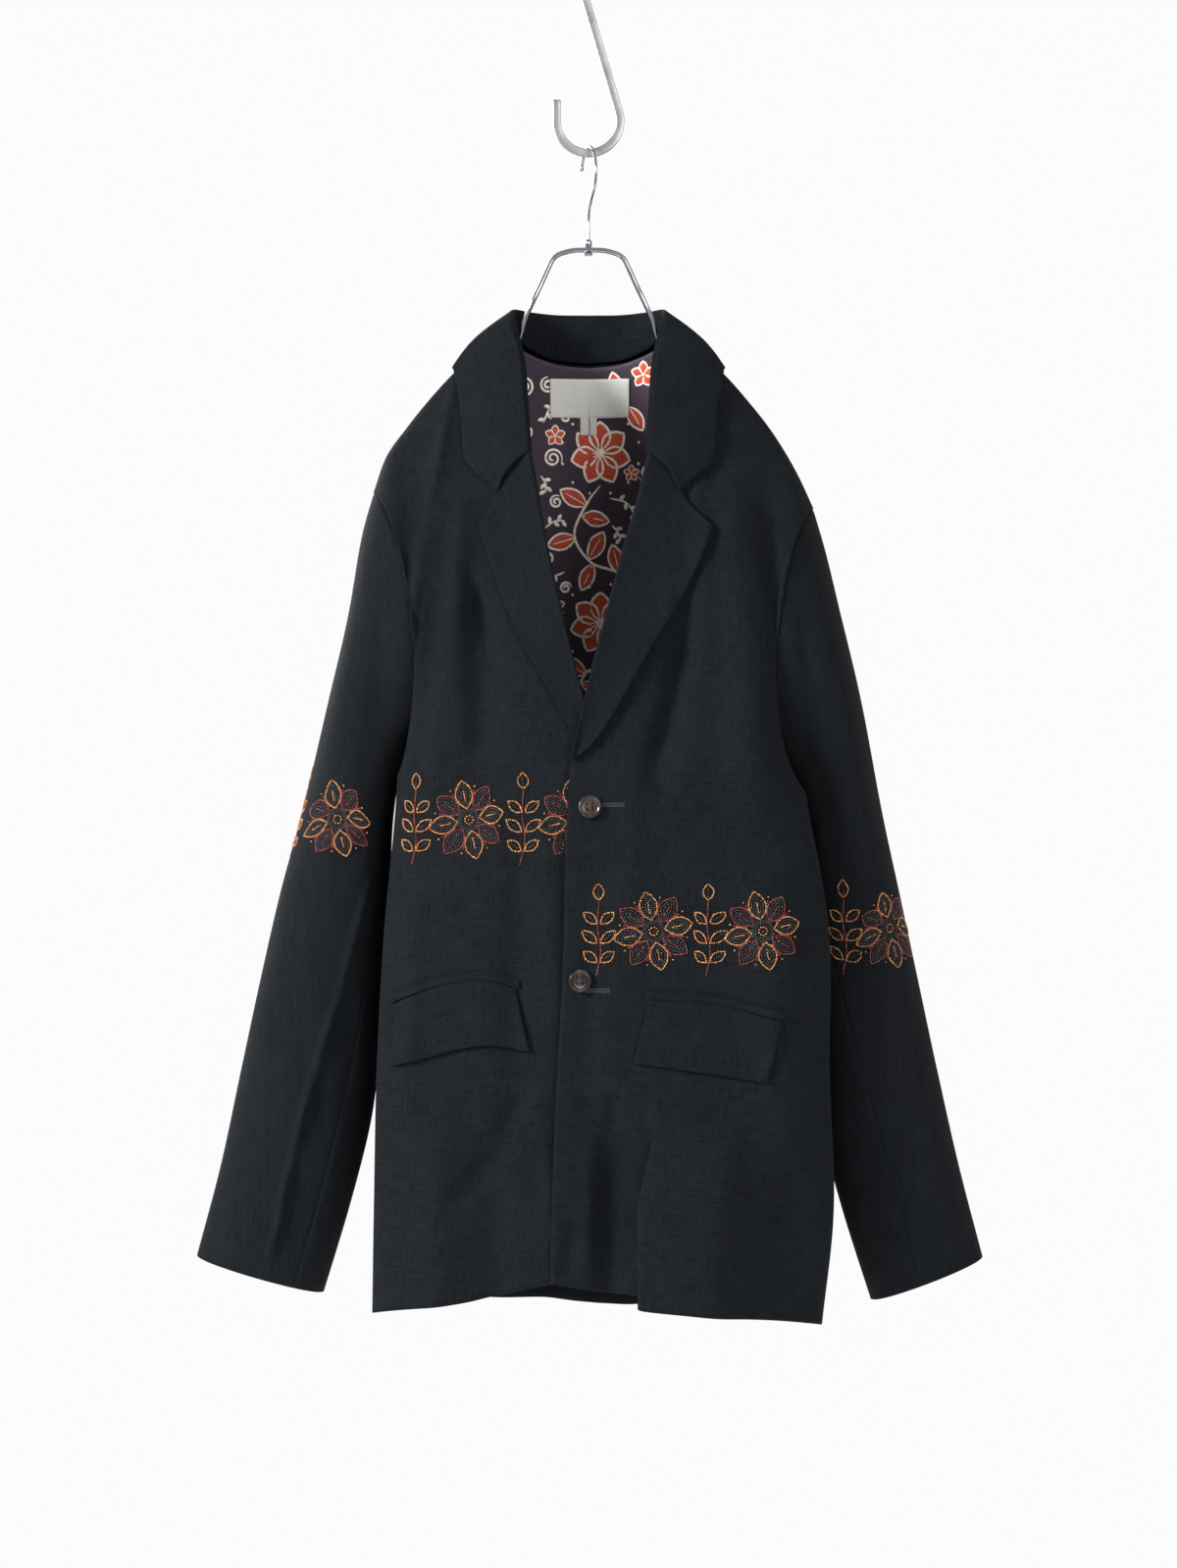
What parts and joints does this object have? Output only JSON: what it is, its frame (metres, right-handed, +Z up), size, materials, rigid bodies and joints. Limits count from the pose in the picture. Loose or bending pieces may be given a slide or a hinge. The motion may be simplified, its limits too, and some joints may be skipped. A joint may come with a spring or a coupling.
{
  "type": "blazer on a hanger and hook",
  "caption": "Single-breasted blazer with notch lapels, flap pockets and a printed back lining, hanging open-necked on a wire hanger and a flat S-hook.",
  "frame": {"origin": "inner top of the S-hook's upper bend, where a rail holds it", "axes": "+X to the viewer's right (the wearer's left), +Y from front to back, +Z up"},
  "size_m": [0.6286, 0.2291, 1.1585],
  "materials": {
    "blazer_cloth": "matt plain weave",
    "printed_lining": "smooth printed lining",
    "woven_label": "plain woven",
    "dark_horn": "polished",
    "chrome": "polished",
    "satin_steel": "satin"
  },
  "bodies": {
    "root": {"back": "blazer_cloth", "front_left": "blazer_cloth", "front_right": "blazer_cloth", "upper_sleeve_left": "blazer_cloth", "upper_sleeve_right": "blazer_cloth", "under_sleeve_left": "blazer_cloth", "under_sleeve_right": "blazer_cloth", "lapel_left": "blazer_cloth", "lapel_right": "blazer_cloth", "collar": "blazer_cloth", "collar_stand": "blazer_cloth", "pocket_flap_left": "blazer_cloth", "pocket_flap_right": "blazer_cloth", "pocket_welt_left": "blazer_cloth", "pocket_welt_right": "blazer_cloth", "back_lining": "printed_lining", "label": "woven_label", "size_tab": "woven_label", "button_upper": "dark_horn", "button_lower": "dark_horn", "hanger_bar": "chrome", "hanger_ferrule": "chrome", "hanger_nut": "chrome", "hanger_hook": "chrome", "s_hook": "satin_steel"}
  },
  "joints": []
}
